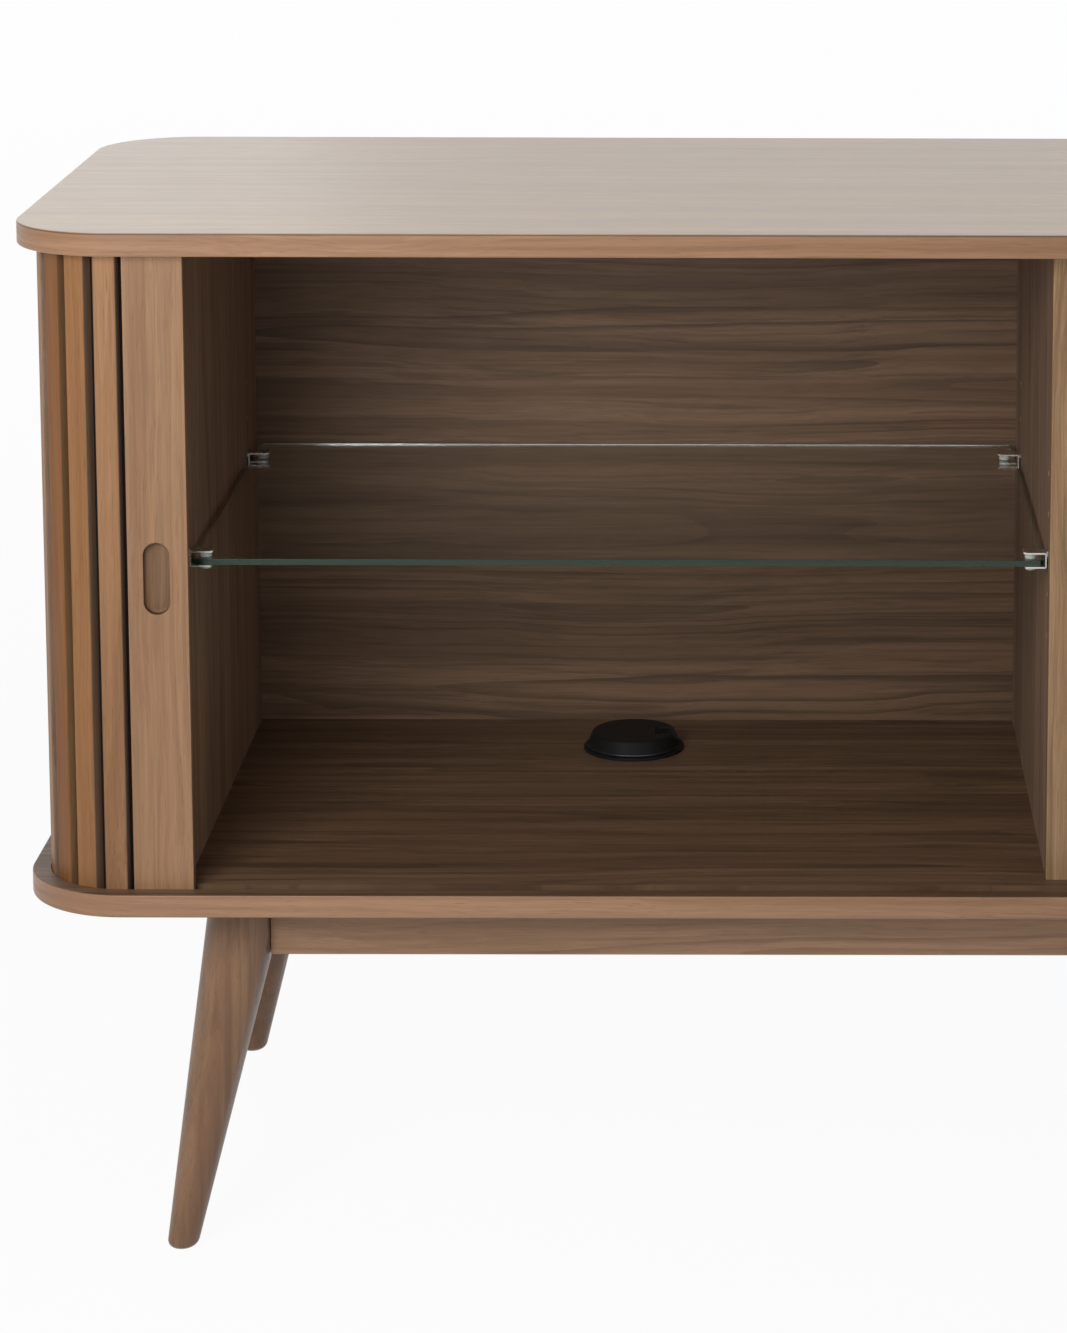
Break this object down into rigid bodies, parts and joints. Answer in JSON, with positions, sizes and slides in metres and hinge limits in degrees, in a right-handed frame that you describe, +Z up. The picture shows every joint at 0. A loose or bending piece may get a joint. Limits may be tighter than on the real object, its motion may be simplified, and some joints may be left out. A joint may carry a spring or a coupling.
{
  "type": "media cabinet",
  "caption": "Low walnut media cabinet with rounded ends, sliding slatted doors in routed grooves, two open bays with glass shelves on clips, and splayed tapered legs.",
  "frame": {"origin": "middle of the footprint at floor level, under the middle of the cabinet", "axes": "+X along the width to the right as seen from the front, +Y from the front to the back, +Z up"},
  "size_m": [1.6, 0.52, 0.816],
  "materials": {
    "walnut_top": "walnut veneer under a matt lacquer, grain along the width",
    "walnut_slats": "walnut slats with upright grain, matt lacquer",
    "walnut_inside": "darker walnut veneer, matt lacquer",
    "walnut_frame": "walnut veneer with edge banding, matt lacquer",
    "walnut_legs": "turned solid walnut, matt lacquer",
    "back_board": "plain walnut-coloured board",
    "shelf_glass": "clear toughened glass with ground green edges",
    "plated_clips": "nickel-plated steel strip",
    "soft_pads": "translucent soft plastic pads",
    "black_plastic": "black moulded plastic, fine satin"
  },
  "bodies": {
    "carcass": {"bottom_board": "walnut_frame", "centre_divider": "walnut_inside", "corner_block_back_left": "back_board", "corner_block_back_right": "back_board", "corner_block_front_left": "back_board", "corner_block_front_right": "back_board", "glass_shelf_left": "shelf_glass", "glass_shelf_right": "shelf_glass", "grommet_ring_left": "black_plastic", "grommet_ring_right": "black_plastic", "inner_back_panel": "walnut_inside", "leg_back_left": "walnut_legs", "leg_back_right": "walnut_legs", "leg_front_left": "walnut_legs", "leg_front_right": "walnut_legs", "lower_pad_left_bay_inner_back": "soft_pads", "lower_pad_left_bay_inner_front": "soft_pads", "lower_pad_left_bay_outer_back": "soft_pads", "lower_pad_left_bay_outer_front": "soft_pads", "lower_pad_right_bay_inner_back": "soft_pads", "lower_pad_right_bay_inner_front": "soft_pads", "lower_pad_right_bay_outer_back": "soft_pads", "lower_pad_right_bay_outer_front": "soft_pads", "outer_back_panel": "back_board", "rail_back": "walnut_frame", "rail_front": "walnut_frame", "rail_side_left": "walnut_frame", "rail_side_right": "walnut_frame", "shelf_clip_left_bay_inner_back": "plated_clips", "shelf_clip_left_bay_inner_front": "plated_clips", "shelf_clip_left_bay_outer_back": "plated_clips", "shelf_clip_left_bay_outer_front": "plated_clips", "shelf_clip_right_bay_inner_back": "plated_clips", "shelf_clip_right_bay_inner_front": "plated_clips", "shelf_clip_right_bay_outer_back": "plated_clips", "shelf_clip_right_bay_outer_front": "plated_clips", "side_panel_left": "walnut_inside", "side_panel_right": "walnut_inside", "tambour_left_back": "walnut_slats", "tambour_left_back_corner": "walnut_slats", "tambour_left_front_corner": "walnut_slats", "tambour_left_side": "walnut_slats", "tambour_right_back": "walnut_slats", "tambour_right_back_corner": "walnut_slats", "tambour_right_front_corner": "walnut_slats", "tambour_right_side": "walnut_slats", "top_board": "walnut_top", "upper_pad_left_bay_inner_back": "soft_pads", "upper_pad_left_bay_inner_front": "soft_pads", "upper_pad_left_bay_outer_back": "soft_pads", "upper_pad_left_bay_outer_front": "soft_pads", "upper_pad_right_bay_inner_back": "soft_pads", "upper_pad_right_bay_inner_front": "soft_pads", "upper_pad_right_bay_outer_back": "soft_pads", "upper_pad_right_bay_outer_front": "soft_pads"},
    "left_door": {"door_stile_left": "walnut_slats"},
    "right_door": {"door_stile_right": "walnut_slats"},
    "left_cap": {"grommet_cap_left": "black_plastic"},
    "right_cap": {"grommet_cap_right": "black_plastic"}
  },
  "joints": [
    {"name": "left_door_slide", "type": "slide", "parent": "carcass", "child": "left_door", "axis": [1, 0, 0], "range_m": [0, 0.6648]},
    {"name": "right_door_slide", "type": "slide", "parent": "carcass", "child": "right_door", "axis": [-1, 0, 0], "range_m": [0, 0.6648]},
    {"name": "left_cap_turn", "type": "hinge", "parent": "carcass", "child": "left_cap", "pos_m": [-0.3405, 0.131, 0.316], "axis": [0, 0, 1], "continuous": true},
    {"name": "right_cap_turn", "type": "hinge", "parent": "carcass", "child": "right_cap", "pos_m": [0.3405, 0.131, 0.316], "axis": [0, 0, 1], "continuous": true}
  ]
}
